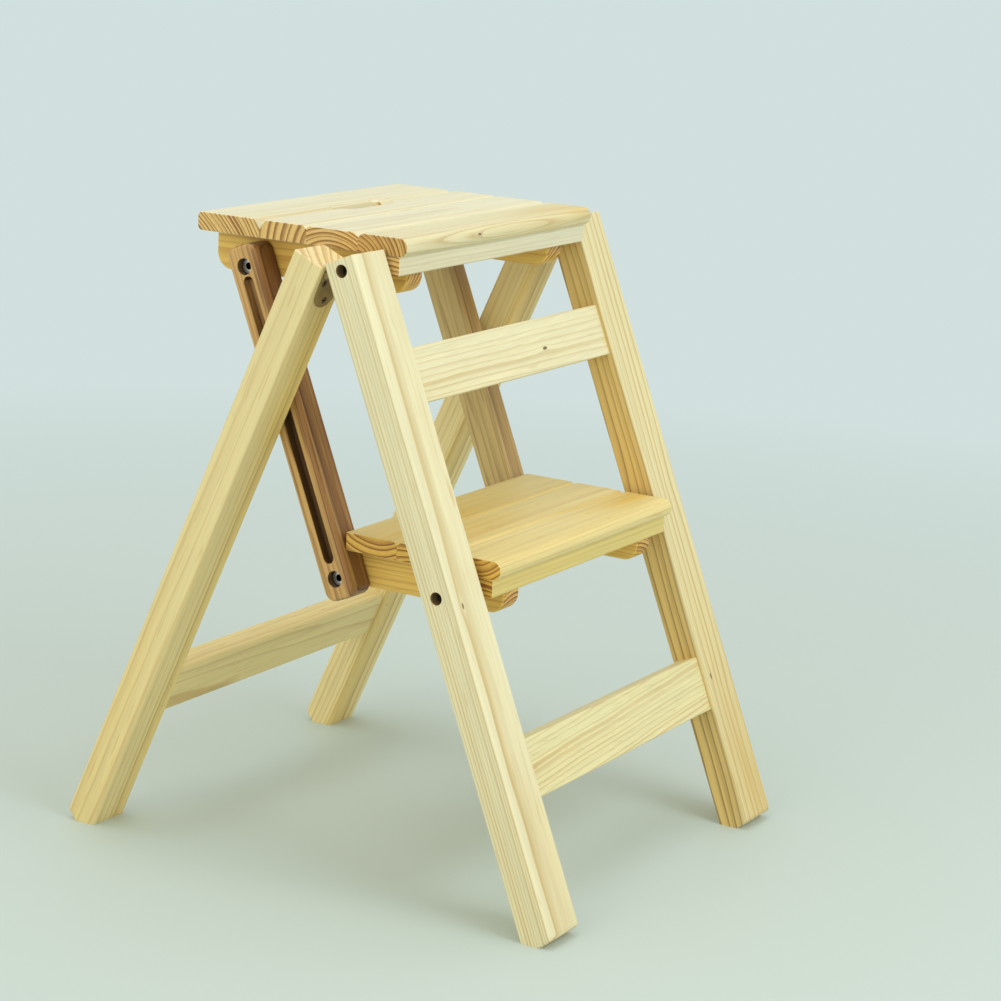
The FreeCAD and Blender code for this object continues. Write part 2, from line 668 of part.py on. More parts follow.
def leaf(knuckles, others, pin_fit):
    """Flat hinge leaf with its own knuckles along the pin, given as X ranges."""
    half = HINGE_WIDTH / 2.0
    low = -HINGE_STANDOFF
    top = low + HINGE_LEAF
    plate = block(-half, half, -HINGE_LENGTH + half, 0.0, low, top)
    tip = Part.makeCylinder(half, HINGE_LEAF, vec(0, -HINGE_LENGTH + half, low))
    plate = plate.fuse(tip).removeSplitter()
    for x0, x1 in others:
        plate = plate.cut(rod_x(x0 - KNUCKLE_GAP, x1 + KNUCKLE_GAP, 0.0, 0.0,
                                KNUCKLE_RADIUS + KNUCKLE_GAP))
    plate = plate.fuse([rod_x(x0, x1, 0.0, 0.0, KNUCKLE_RADIUS) for x0, x1 in knuckles])
    bore = rod_x(-half - PAST, half + PAST, 0.0, 0.0, PIN_RADIUS + pin_fit)
    return plate.removeSplitter().cut([bore] + flat_hinge_screws())


def flat_hinge_screws():
    """Screws of one leaf as it lies flat, heads flush with the leaf."""
    screws = []
    for offset, drop in HINGE_SCREWS:
        screw = wood_screw()
        screw.translate(vec(offset, -drop, HINGE_LEAF - HINGE_STANDOFF))
        screws.append(screw)
    return screws


def slotted_hinge_screws():
    screws = []
    for (offset, drop), screw in zip(HINGE_SCREWS, flat_hinge_screws()):
        slot = screw_slot()
        slot.rotate(vec(0, 0, 0), vec(0, 0, 1), SLOT_TURN * offset)
        slot.translate(vec(offset, -drop, HINGE_LEAF - HINGE_STANDOFF))
        screws.append(screw.cut(slot))
    return screws


def front_hinge_screws():
    return [leaf_to_front(screw) for screw in flat_hinge_screws()]


def rear_hinge_screws():
    return [leaf_to_rear(screw) for screw in flat_hinge_screws()]


def knuckle_ranges():
    """Two outer knuckles for the front leaf and the middle one for the rear leaf."""
    half = HINGE_WIDTH / 2.0
    sixth = HINGE_WIDTH / 6.0
    outer = [(-half, -sixth - KNUCKLE_GAP / 2.0), (sixth + KNUCKLE_GAP / 2.0, half)]
    middle = [(-sixth + KNUCKLE_GAP / 2.0, sixth - KNUCKLE_GAP / 2.0)]
    return outer, middle


def front_leaf():
    outer, middle = knuckle_ranges()
    return leaf_to_front(leaf(outer, middle, 0.0))


def rear_leaf():
    outer, middle = knuckle_ranges()
    return leaf_to_rear(leaf(middle, outer, RUNNING_FIT))


def hinge_pin():
    half = HINGE_WIDTH / 2.0
    return rod_x(HINGE_X - half, HINGE_X + half, PIN_Y, PIN_Z, PIN_RADIUS)


def save(name, shapes):
    """Write one node; several shapes stay separate solids in one group."""
    shape = shapes[0].copy() if len(shapes) == 1 else Part.makeCompound(shapes)
    shape.translate(vec(0, -CENTRE_Y, 0))
    shape.exportStep("parts/" + name + ".step")


def save_pair(name, shape):
    save(name + "_right", [shape])
    save(name + "_left", [mirrored(shape)])


def save_group(name, shapes):
    """Right-hand solids and their mirror images as one node."""
    save(name, shapes + [mirrored(shape) for shape in shapes])


def seat_screws():
    return [batten_screw(y, SEAT_UNDERSIDE) for y in SEAT_SCREW_Y]


def step_screws():
    return [batten_screw(y, STEP_UNDERSIDE) for y in STEP_SCREW_Y]


def save_boards(name, planks, screws, others):
    """Boards with the holes of the screws and any other cuts."""
    cuts = screws + [mirrored(screw) for screw in screws] + others
    for number, plank in enumerate(planks, start=1):
        save(name + "_" + str(number), [plank.cut(cuts)])


def build_front_frame():
    save_pair("front_leg", RIGHT_FRONT_LEG)
    save("upper_front_rail", [front_rail(UPPER_RAIL_ALONG, UPPER_RAIL_HEIGHT)])
    save("lower_front_rail", [front_rail(LOWER_RAIL_ALONG, LOWER_RAIL_HEIGHT)])
    save_group("front_rail_dowels",
               front_dowels(UPPER_RAIL_ALONG) + front_dowels(LOWER_RAIL_ALONG))
    save_pair("front_hinge_leaf", front_leaf())
    save_group("front_hinge_screws",
               [leaf_to_front(screw) for screw in slotted_hinge_screws()])
    save_group("hinge_pins", [hinge_pin()])
    save_group("seat_pivot_bolts", [leg_bolt(SEAT_PIVOT)])
    save_group("step_pivot_bolts", [leg_bolt(STEP_PIVOT)])
    save_group("pivot_spacers", [leg_spacer(SEAT_PIVOT), leg_spacer(STEP_PIVOT)])
    save_group("pivot_nuts", leg_nuts(SEAT_PIVOT) + leg_nuts(STEP_PIVOT))


def build_rear_frame():
    save_pair("rear_leg", RIGHT_REAR_LEG)
    save("rear_rail", [rear_rail()])
    save_group("rear_rail_dowels", [pin.cut(brads(1.0)) for pin in rear_dowels()])
    save_group("rear_rail_brads", brads(0.0))
    save_pair("rear_hinge_leaf", rear_leaf())
    save_group("rear_hinge_screws",
               [leaf_to_rear(screw) for screw in slotted_hinge_screws()])


def build_seat():
    planks = boards(SEAT_SEAMS, SEAT_NOSE_Y, SEAT_BACK_Y, SEAT_TOP, SEAT_WIDTH,
                    SEAT_BACK_ROUNDING)
    save_boards("seat_board", planks, seat_screws(), [hand_hole(), hand_hole_flare()])
    save("seat_lip", [lip(SEAT_NOSE_Y, SEAT_UNDERSIDE, SEAT_WIDTH)])
    save_pair("seat_batten", batten(SEAT_BATTEN_FRONT_Y, SEAT_BATTEN_BACK_Y, SEAT_UNDERSIDE,
                                    SEAT_PIVOT, LINK_TOP, SEAT_SCREW_Y,
                                    SEAT_NOSE_Y + LIP_SETBACK + LIP_THICKNESS))
    save_group("seat_batten_screws", seat_screws())
    save_group("upper_link_bolts", [link_bolt(LINK_TOP)])
    save_group("upper_link_washers", [link_washer(LINK_TOP)])
    save_group("upper_link_nuts", link_nuts(LINK_TOP))


def build_step():
    planks = boards(STEP_SEAMS, STEP_NOSE_Y, STEP_BACK_Y, STEP_TOP, STEP_WIDTH,
                    STEP_BACK_ROUNDING)
    save_boards("step_board", planks, step_screws(), [])
    save("step_lip", [lip(STEP_NOSE_Y, STEP_UNDERSIDE, STEP_WIDTH)])
    save_pair("step_batten", batten(STEP_BATTEN_FRONT_Y, STEP_BATTEN_BACK_Y, STEP_UNDERSIDE,
                                    STEP_PIVOT, LINK_BOTTOM, STEP_SCREW_Y,
                                    STEP_NOSE_Y + LIP_SETBACK + LIP_THICKNESS))
    save_group("step_batten_screws", step_screws())
    save_group("lower_link_bolts", [link_bolt(LINK_BOTTOM)])
    save_group("lower_link_washers", [link_washer(LINK_BOTTOM)])
    save_group("lower_link_nuts", link_nuts(LINK_BOTTOM))


# the toes of the legs are the front and back of the whole stool; its middle becomes Y = 0
RIGHT_FRONT_LEG = front_leg()
RIGHT_REAR_LEG = rear_leg()
CENTRE_Y = (RIGHT_FRONT_LEG.optimalBoundingBox().YMin
            + RIGHT_REAR_LEG.optimalBoundingBox().YMax) / 2.0

os.makedirs("parts", exist_ok=True)
build_front_frame()
build_rear_frame()
build_seat()
build_step()
save_pair("side_link", link())
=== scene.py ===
import math

import bpy
from mathutils import Matrix, Vector


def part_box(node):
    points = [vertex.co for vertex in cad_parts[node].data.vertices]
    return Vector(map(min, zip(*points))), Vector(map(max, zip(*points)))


# The stool in its plain studio. Metres, X to the right seen from the front, Y to the
# back, Z up, floor at Z = 0.

# the tilt of the front legs back from the vertical, and of the rear legs forward
FRONT_TILT = math.radians(22.1)
REAR_TILT = math.radians(23.25)
X_AXIS = Vector((1.0, 0.0, 0.0))
Y_AXIS = Vector((0.0, 1.0, 0.0))
ALONG_FRONT = Vector((0.0, math.sin(FRONT_TILT), math.cos(FRONT_TILT)))
ALONG_REAR = Vector((0.0, -math.sin(REAR_TILT), math.cos(REAR_TILT)))

# the two bolt holes of a front leg, by their places along it from its middle. Their walls
# get painted shade up to this distance from the middle of its width of 44 mm
LEG_BORES = (0.2606, 0.0021)
LEG_BORE_RADIUS = 0.0052
LEG_BORE_START = 0.0217

# the painted shade in a side link's groove and bores, all from the link's middle: between
# which depths it lies, how far it reaches across and along, and where the upper bore is
RECESS_DEPTH = (0.0020, 0.0122)
RECESS_HALF_WIDTH = 0.0095
RECESS_HALF_LENGTH = 0.1385
LINK_BORE_START = 0.1190

# painted shade of the hexagon sockets in the bolt heads: a dark round patch of this radius
SOCKET_RADIUS = 0.0028

# camera
CAMERA_PLACE = (-1.909725, -1.194886, 0.820022)
CAMERA_YAW = 1.03415
CAMERA_PITCH = -0.23412
CAMERA_ROLL = 0.04932
CAMERA_SENSOR = 36.0
CAMERA_LENS = 99.58

# surroundings
BACKGROUND = (0.640, 0.745, 0.730)
FLOOR_COLOUR = (0.560, 0.655, 0.625)
FLOOR_RADIUS = 40.0
FLOOR_SIDES = 96
FLOOR_FADE_START = 0.35
FLOOR_FADE_END = 1.9
WORLD_LIGHT = (1.0, 0.950, 0.825)
WORLD_STRENGTH = 0.72

# soft lamps, all aimed at the stool's middle: name, place, size, power, colour
LAMP_TARGET = (0.0, 0.0, 0.28)
LAMPS = (("key", (-0.3, -2.3, 1.9), 1.6, 26.0, (0.89, 0.955, 1.0)),
         ("top", (-0.3, 0.2, 2.6), 2.4, 16.0, (0.90, 0.965, 1.0)),
         ("left", (-2.6, 0.3, 1.2), 1.6, 11.0, (1.0, 0.950, 0.83)))

# woods: sapwood, amber heartwood and the core of the log, the darker late wood of each
# ring, the end grain, which drinks in more varnish, the colour of patches, which is the
# wood's own on some woods and painted shade on others, and painted shade in recesses and
# bolt holes
PINE = {"sap": (0.860, 0.770, 0.460), "heart": (0.830, 0.660, 0.290),
        "core": (0.810, 0.580, 0.205), "late": (0.600, 0.380, 0.125),
        "end": (0.830, 0.575, 0.210), "end_late": (0.340, 0.155, 0.036),
        "stain_and_shade": (0.800, 0.580, 0.190), "shade": (0.240, 0.145, 0.055)}
PALE_PINE = dict(PINE, sap=(0.800, 0.760, 0.560), late=(0.560, 0.400, 0.170),
                 stain_and_shade=(0.700, 0.490, 0.120))
# the front seat board: its darker end grain is partly its own colour, partly painted shade
NOSE_PINE = dict(PALE_PINE, sap=(0.790, 0.735, 0.485), end=(0.690, 0.450, 0.145),
                 end_late=(0.270, 0.115, 0.028))
LEG_PINE = dict(PINE, end=(0.860, 0.700, 0.375), end_late=(0.640, 0.425, 0.160))
FRONT_PINE = dict(LEG_PINE, sap=(0.865, 0.800, 0.525), late=(0.640, 0.480, 0.205))
REAR_PINE = dict(LEG_PINE, sap=(0.870, 0.740, 0.385), core=(0.920, 0.710, 0.280),
                 stain_and_shade=(0.900, 0.690, 0.240))
# a lighter copy for the right rear leg and the rear rail: painted light where they lie in shade
LIT_BACK_PINE = dict(REAR_PINE, sap=(0.925, 0.790, 0.415), heart=(0.890, 0.700, 0.300))
GOLD_PINE = dict(PINE, sap=(0.860, 0.740, 0.365), heart=(0.780, 0.560, 0.150),
                 late=(0.600, 0.370, 0.090), end=(0.780, 0.475, 0.092),
                 end_late=(0.280, 0.105, 0.018), stain_and_shade=(0.740, 0.480, 0.085))
# the step's lip in a deeper, darker gold: partly its own colour, partly painted shade under the
# step's nose
LIP_PINE = dict(GOLD_PINE, sap=(0.790, 0.650, 0.235))
RAIL_PINE = dict(LEG_PINE, sap=(0.825, 0.770, 0.440))
# a darker copy for the right front leg: painted shade, as less light reaches it
SHADED_RIGHT_PINE = dict(LEG_PINE, sap=(0.810, 0.745, 0.445), stain_and_shade=(0.700, 0.520, 0.190))
AMBER_PINE = dict(PINE, sap=(0.880, 0.595, 0.150), heart=(0.800, 0.470, 0.090),
                  late=(0.500, 0.250, 0.050), end=(0.760, 0.460, 0.120),
                  end_late=(0.240, 0.090, 0.020))
# the left link's wood; its dark red brown patch colour is painted shade with a reddish tint
ACACIA = {"sap": (0.690, 0.425, 0.155), "heart": (0.620, 0.365, 0.125),
          "core": (0.390, 0.190, 0.060), "late": (0.185, 0.078, 0.026),
          "end": (0.420, 0.250, 0.110), "end_late": (0.150, 0.070, 0.030),
          "stain_and_shade": (0.125, 0.040, 0.020), "shade": (0.085, 0.038, 0.010)}
# the right link's paler wood; its patch colour is painted shade
TAN_ACACIA = dict(ACACIA, sap=(0.665, 0.505, 0.225), heart=(0.600, 0.440, 0.190),
                  core=(0.540, 0.360, 0.145), late=(0.290, 0.165, 0.060),
                  stain_and_shade=(0.270, 0.150, 0.055))
BEECH = {"sap": (0.640, 0.470, 0.270), "heart": (0.560, 0.390, 0.210),
         "late": (0.480, 0.320, 0.160), "end": (0.600, 0.430, 0.230),
         "end_late": (0.460, 0.300, 0.150)}
KNOT = (0.120, 0.055, 0.018)

# how dark the wood is through one ring, as (place in the ring, level)
SIDE_RINGS = ((0.0, 0.14), (0.10, 0.0), (0.50, 0.07), (0.74, 0.42), (0.90, 1.0), (0.96, 0.95),
              (1.0, 0.14))
END_RINGS = ((0.0, 0.18), (0.09, 0.0), (0.40, 0.12), (0.64, 0.58), (0.80, 1.0), (0.94, 0.95),
             (1.0, 0.18))

# metals
BRONZE = (0.250, 0.170, 0.056)
BRONZE_WORN = (0.400, 0.310, 0.125)
BRONZE_DARK = (0.016, 0.012, 0.006)
STEEL = (0.780, 0.780, 0.760)
STEEL_DULL = (0.520, 0.520, 0.505)
STEEL_DARK = (0.060, 0.055, 0.050)
# painted shade inside a bolt's hexagon socket
SOCKET_PAINTED_SHADE = (0.004, 0.004, 0.004)


class Graph:
    """The shader nodes of one material."""

    def __init__(self, name):
        self.material = bpy.data.materials.new(name)
        self.material.use_nodes = True
        self.tree = self.material.node_tree
        self.tree.nodes.clear()

    def add(self, kind, inputs, **settings):
        node = self.tree.nodes.new(kind)
        for key, value in settings.items():
            setattr(node, key, value)
        for key, value in inputs.items():
            if isinstance(value, bpy.types.NodeSocket):
                self.tree.links.new(value, node.inputs[key])
            else:
                node.inputs[key].default_value = value
        return node

    def number(self, operation, *values):
        """A Math node of that operation."""
        inputs = dict(enumerate(values))
        return self.add("ShaderNodeMath", inputs, operation=operation).outputs[0]

    def vector(self, operation, *values):
        """A Vector Math node of that operation, giving a vector."""
        inputs = dict(enumerate(values))
        return self.add("ShaderNodeVectorMath", inputs, operation=operation).outputs["Vector"]

    def measure(self, operation, *values):
        """A Vector Math node of that operation, giving a number."""
        inputs = dict(enumerate(values))
        return self.add("ShaderNodeVectorMath", inputs, operation=operation).outputs["Value"]

    def noise(self, vector, scale, detail=2.0, roughness=0.5):
        inputs = {"Vector": vector, "Scale": scale, "Detail": detail, "Roughness": roughness}
        return self.add("ShaderNodeTexNoise", inputs).outputs["Fac"]

    def spread(self, value, low, high, to_low=0.0, to_high=1.0):
        """Carries a value from one range to another, and holds it there."""
        inputs = {"Value": value, "From Min": low, "From Max": high,
                  "To Min": to_low, "To Max": to_high}
        return self.add("ShaderNodeMapRange", inputs).outputs["Result"]

    def wander(self, vector, scale, detail, reach):
        """A sideways shift of up to half the reach, from noise."""
        inputs = {"Vector": vector, "Scale": scale, "Detail": detail}
        colour = self.add("ShaderNodeTexNoise", inputs).outputs["Color"]
        return self.vector("MULTIPLY", self.vector("SUBTRACT", colour, (0.5, 0.5, 0.5)),
                           (reach, reach, 0.0))

    def dome(self, vector, spot, length, width):
        """A soft swelling, 1 at the spot: length along the grain, width across it."""
        shift = self.vector("DIVIDE", self.vector("SUBTRACT", vector, spot),
                            (width, width, length))
        reach = self.measure("LENGTH", shift)
        square = self.number("MULTIPLY", reach, reach)
        return self.number("EXPONENT", self.number("MULTIPLY", square, -1.0))

    def scaled(self, colour, factor):
        """A colour made lighter or darker by a factor."""
        node = self.add("ShaderNodeVectorMath", {0: colour, "Scale": factor},
                        operation="SCALE")
        return node.outputs["Vector"]

    def mix(self, factor, first, second):
        node = self.add("ShaderNodeMix", {0: factor}, data_type="RGBA")
        for index, value in ((6, first), (7, second)):
            if isinstance(value, bpy.types.NodeSocket):
                self.tree.links.new(value, node.inputs[index])
            else:
                node.inputs[index].default_value = (*value, 1.0)
        return node.outputs[2]

    def ramp(self, factor, stops):
        """A ramp of grey levels: stops are (position, level)."""
        node = self.add("ShaderNodeValToRGB", {"Fac": factor})
        elements = node.color_ramp.elements
        while len(elements) < len(stops):
            elements.new(0.5)
        for element, (place, level) in zip(elements, stops):
            element.position = place
            element.color = (level, level, level, 1.0)
        return node.outputs["Color"]

    def surface(self, colour, roughness, height, bump, depth, metallic=0.0, coat=0.0,
                shine=0.5):
        """Joins colour, roughness and a height to the shader."""
        normal = self.add("ShaderNodeBump", {"Height": height, "Strength": bump,
                                             "Distance": depth}).outputs["Normal"]
        shader = self.add("ShaderNodeBsdfPrincipled", {
            "Base Color": colour, "Roughness": roughness, "Metallic": metallic,
            "Specular IOR Level": shine, "Coat Weight": coat, "Coat Roughness": 0.35,
            "Normal": normal})
        self.add("ShaderNodeOutputMaterial", {"Surface": shader.outputs[0]})
        return self.material


def log_frame(grain, across):
    """The turn that carries the part's axes to a log's: X across, Y across, Z along."""
    along = grain.normalized()
    side = (across - along * across.dot(along)).normalized()
    other = along.cross(side)
    return Matrix((side, other, along)).transposed().to_euler()


class Log(Graph):
    """The nodes of a wood cut from one log. Its own axes are X and Y across, Z along."""

    def __init__(self, name, node, grain, across, look):
        super().__init__(name)
        self.look = look
        source = self.add("ShaderNodeTexCoord", {}).outputs
        self.turned = self.add("ShaderNodeMapping", {
            "Vector": source["Object"], "Location": centre_of(node),
            "Rotation": log_frame(grain, across)}, vector_type="TEXTURE").outputs["Vector"]
        self.slow = self.drawn_out(0.045)
        facing = self.measure("DOT_PRODUCT", source["Normal"], tuple(grain.normalized()))
        self.endness = self.spread(self.number("ABSOLUTE", facing), 0.55, 0.90)

    def drawn_out(self, along):
        """The log's coordinates shrunk along the grain, so that noise is drawn out there."""
        return self.vector("MULTIPLY", self.turned, (1.0, 1.0, along))

    def radius(self, pith, wander):
        """The distance from the heart of the log, which has a slow bend and a finer one."""
        drift = self.wander(self.slow, 11.0, 1.5, wander * 4)
        fine_drift = self.wander(self.drawn_out(0.20), 48.0, 1.0, wander * 0.4)
        bent = self.vector("ADD", self.vector("ADD", self.turned, drift), fine_drift)
        flat = self.vector("MULTIPLY", self.vector("SUBTRACT", bent, (*pith, 0.0)),
                           (1.0, 1.0, 0.0))
        return self.measure("LENGTH", flat)

    def place_in_ring(self, radius, ring, ovals, knots):
        """How far through its ring a point lies, from 0 to 1. Rings are uneven in width, and
        ovals and knots push them aside."""
        count = self.number("DIVIDE", radius, ring)
        for spot, length, width, rings in ovals:
            swelling = self.dome(self.turned, spot, length, width)
            count = self.number("MULTIPLY_ADD", swelling, rings, count)
        for spot, size in knots:
            swelling = self.dome(self.turned, spot, size * 6, size * 2.0)
            count = self.number("MULTIPLY_ADD", swelling, -0.35, count)
        uneven = self.noise(self.add("ShaderNodeCombineXYZ", {"X": count}).outputs[0], 0.9, 1.0)
        return self.number("FRACT", self.number("MULTIPLY_ADD", uneven, 1.6, count))

    def side_grain(self, radius, rings, lines, warmth, core, stains_and_shade, figure):
        """The colour of the faces along the grain."""
        look = self.look
        broad = self.noise(self.slow, 26.0, 2.0)
        base = self.mix(self.spread(broad, 0.35, 0.72, warmth, warmth + 0.30), look["sap"],
                        look["heart"])
        late = look["late"]
        strength = self.spread(self.noise(self.slow, 17.0, 1.0), 0.30, 0.70,
                               lines * 0.50, lines * 1.30)
        if core > 0.0:
            inside = self.spread(radius, core - 0.004, core + 0.004, 1.0, 0.0)
            base = self.mix(inside, base, look["core"])
            late = self.scaled(late, self.spread(inside, 0.0, 1.0, 1.0, 0.60))
            strength = self.number("MULTIPLY", strength,
                                   self.spread(inside, 0.0, 1.0, 1.0, 1.6))
        base, clear = self.stained_and_shaded(base, stains_and_shade)
        face = self.mix(self.number("MULTIPLY", rings, strength), base, late)
        if figure > 0.0:
            face = self.streaked(face, clear, figure)
        return face

    def stained_and_shaded(self, colour, stains_and_shade):
        """The colour with patches on it, of the wood's own colour and of painted shade, and how
        clear of them each place is.
        """
        clear = 1.0
        patchy = self.spread(self.noise(self.slow, 75.0, 2.0), 0.36, 0.62, 0.45, 1.0)
        for spot, length, width, strength in stains_and_shade:
            stain_and_shade = self.number("MULTIPLY", self.dome(self.turned, spot, length, width), patchy)
            stain_and_shade = self.number("MULTIPLY", stain_and_shade, strength)
            colour = self.mix(stain_and_shade, colour, self.look["stain_and_shade"])
            clear = self.number("MULTIPLY", clear, self.number("SUBTRACT", 1.0, stain_and_shade))
        return colour, clear

    def streaked(self, colour, clear, figure):
        """The colour with pale streaks, which stay off the patches of colour and of painted
        shade, and dark ones.
        """
        pale = self.noise(self.drawn_out(0.035), 150.0, 2.0, 0.6)
        dark = self.noise(self.drawn_out(0.05), 260.0, 1.0)
        pale = self.number("MULTIPLY", self.spread(pale, 0.50, 0.70, 0.0, figure), clear)
        colour = self.mix(pale, colour, self.look["sap"])
        return self.mix(self.spread(dark, 0.52, 0.72, 0.0, figure), colour, self.look["late"])

    def toned(self, colour, fibre):
        """The colour with fibres, streaks and the short dark lines of resin canals."""
        streak = self.noise(self.drawn_out(0.03), 210.0, 1.0)
        tone = self.number("MULTIPLY", self.spread(fibre, 0.30, 0.70, 0.94, 1.04),
                           self.spread(streak, 0.30, 0.70, 0.955, 1.03))
        canal = self.spread(self.noise(self.drawn_out(0.06), 520.0, 0.0), 0.735, 0.80, 0.0, 0.38)
        canal = self.number("MULTIPLY", canal, self.number("SUBTRACT", 1.0, self.endness))
        return self.mix(canal, self.scaled(colour, tone), self.look["late"])

    def knotted(self, colour, knots):
        """The colour with the dark hearts of the knots."""
        for spot, size in knots:
            gap = self.vector("DIVIDE", self.vector("SUBTRACT", self.turned, spot),
                              (size, size, size * 2.6))
            heart = self.spread(self.measure("LENGTH", gap), 0.55, 1.0, 0.90, 0.0)
            colour = self.mix(heart, colour, KNOT)
        return colour

    def recess_painted_shade(self, side):
        """The painted shade in a link's groove and bores: 1 inside them, less where the groove
        begins at the top.
        """
        parts = self.add("ShaderNodeSeparateXYZ", {"Vector": self.turned}).outputs
        depth = self.number("MULTIPLY", parts[0], side)
        inner, outer = RECESS_DEPTH
        below = self.number("MULTIPLY", self.spread(depth, outer - 0.0008, outer, 1.0, 0.0),
                            self.spread(depth, inner, inner + 0.0010))
        middle = self.spread(self.number("ABSOLUTE", parts[1]), RECESS_HALF_WIDTH - 0.0010,
                             RECESS_HALF_WIDTH, 1.0, 0.0)
        between = self.spread(self.number("ABSOLUTE", parts[2]), RECESS_HALF_LENGTH - 0.0015,
                              RECESS_HALF_LENGTH, 1.0, 0.0)
        groove = self.spread(parts[2], 0.030, 0.110, 0.94, 0.35)
        bores = self.spread(parts[2], LINK_BORE_START - 0.0010, LINK_BORE_START, 0.0, 0.90)
        mask = self.number("MULTIPLY", self.number("MULTIPLY", below, middle), between)
        return self.number("MULTIPLY", mask, self.number("MAXIMUM", groove, bores))

    def bore_painted_shade(self, place):
        """The painted shade in the bolt hole that crosses a front leg at that place along it: 1
        inside it.
        """
        shift = self.vector("SUBTRACT", self.turned, (0.0, 0.0, place))
        reach = self.measure("LENGTH", self.vector("MULTIPLY", shift, (0.0, 1.0, 1.0)))
        near = self.spread(reach, LEG_BORE_RADIUS + 0.0002, LEG_BORE_RADIUS + 0.0008, 1.0, 0.0)
        depth = self.measure("DOT_PRODUCT", self.turned, (1.0, 0.0, 0.0))
        deep = self.spread(self.number("ABSOLUTE", depth), LEG_BORE_START - 0.0007,
                           LEG_BORE_START, 0.9, 0.0)
        return self.number("MULTIPLY", near, deep)


def wood(name, node, grain, across, pith, ring, look, lines, wander=0.006, warmth=0.0,
         core=0.0, ovals=(), knots=(), stains_and_shade=(), figure=0.0, recess=0.0, bores=()):
    """Wood cut from a log whose heart runs along the grain at pith from the node's centre.

    Rings round the heart give straight lines on a quartered face, long figure on a flat one
    and arcs on the ends. lines is the strength of the rings, wander how crooked the log is,
    warmth the share of heartwood colour and core the radius of the log's dark core. ovals
    are (place, along, across, rings), knots (place, radius) and stains (place, along,
    across, strength), which are patches both of the wood's own colour and of painted shade,
    all in the log's own directions. figure is the strength of streaks in brown wood, and
    recess the side (-1 or 1) of a link whose groove and bores get painted shade. bores are
    the places, along the grain, of a front leg's bolt holes, whose walls get painted shade.
    """
    log = Log(name, node, grain, across, look)
    radius = log.radius(pith, wander)
    place_in_ring = log.place_in_ring(radius, ring, ovals, knots)
    rings = log.ramp(place_in_ring, SIDE_RINGS)
    side = log.side_grain(radius, rings, lines, warmth, core, stains_and_shade, figure)
    end = log.mix(log.ramp(place_in_ring, END_RINGS), look["end"], look["end_late"])
    fibre = log.noise(log.drawn_out(0.018), 950.0, 2.0, 0.6)
    colour = log.toned(log.mix(log.endness, side, end), fibre)
    colour = log.knotted(colour, knots)
    # painted shade in a link's groove and bores, and in a front leg's bolt holes
    if recess:
        colour = log.mix(log.recess_painted_shade(recess), colour, look["shade"])
    for place in bores:
        colour = log.mix(log.bore_painted_shade(place), colour, look["shade"])

    roughness = log.number("MULTIPLY_ADD", rings, -0.05, 0.47)
    roughness = log.number("MULTIPLY_ADD", fibre, 0.10, roughness)
    height = log.number("MULTIPLY_ADD", fibre, 0.5, rings)
    return log.surface(colour, roughness, height, 0.16, 0.00025, coat=0.05, shine=0.35)


def bronze(name, colour=BRONZE, worn=BRONZE_WORN):
    """Antique plating, darker in broad patches and rubbed bright in places."""
    graph = Graph(name)
    place = graph.add("ShaderNodeTexCoord", {}).outputs["Object"]
    patch = graph.noise(place, 120.0, 3.0, 0.5)
    rub = graph.noise(graph.vector("MULTIPLY", place, (1.0, 1.0, 0.25)), 900.0, 3.0)
    colour = graph.mix(graph.spread(patch, 0.40, 0.75, 0.0, 0.45), colour, worn)
    colour = graph.mix(graph.spread(rub, 0.60, 0.80, 0.0, 0.3), colour, worn)
    roughness = graph.spread(patch, 0.30, 0.70, 0.50, 0.38)
    return graph.surface(colour, roughness, rub, 0.10, 0.0002, metallic=0.4)


def steel(name, colour, dull, socket=None):
    """Plated steel with faint turning marks and duller spots. socket is the middle of the
    hexagon socket in a bolt's head, whose axis is X, where a dark round patch paints its shade."""
    graph = Graph(name)
    place = graph.add("ShaderNodeTexCoord", {}).outputs["Object"]
    cloud = graph.noise(place, 160.0, 3.0, 0.5)
    mark = graph.noise(graph.vector("MULTIPLY", place, (0.15, 1.0, 1.0)), 2600.0, 2.0)
    tone = graph.mix(graph.spread(cloud, 0.50, 0.80, 0.0, 0.5), colour, dull)
    # painted shade of the socket: a dark round patch round the bolt's axis
    if socket is not None:
        from_axis = graph.vector("MULTIPLY", graph.vector("SUBTRACT", place, socket),
                                 (0.0, 1.0, 1.0))
        deep = graph.spread(graph.measure("LENGTH", from_axis), SOCKET_RADIUS,
                            SOCKET_RADIUS + 0.0003, 1.0, 0.0)
        tone = graph.mix(deep, tone, SOCKET_PAINTED_SHADE)
    roughness = graph.spread(cloud, 0.30, 0.70, 0.22, 0.34)
    return graph.surface(tone, roughness, mark, 0.06, 0.0001, metallic=1.0)


def clothe(material, *nodes):
    """Gives the named CAD nodes a material."""
    for node in nodes:
        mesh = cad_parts[node].data
        mesh.materials.clear()
        mesh.materials.append(material)


def centre_of(node):
    """The middle of a CAD node's box."""
    low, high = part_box(node)
    return (low + high) / 2


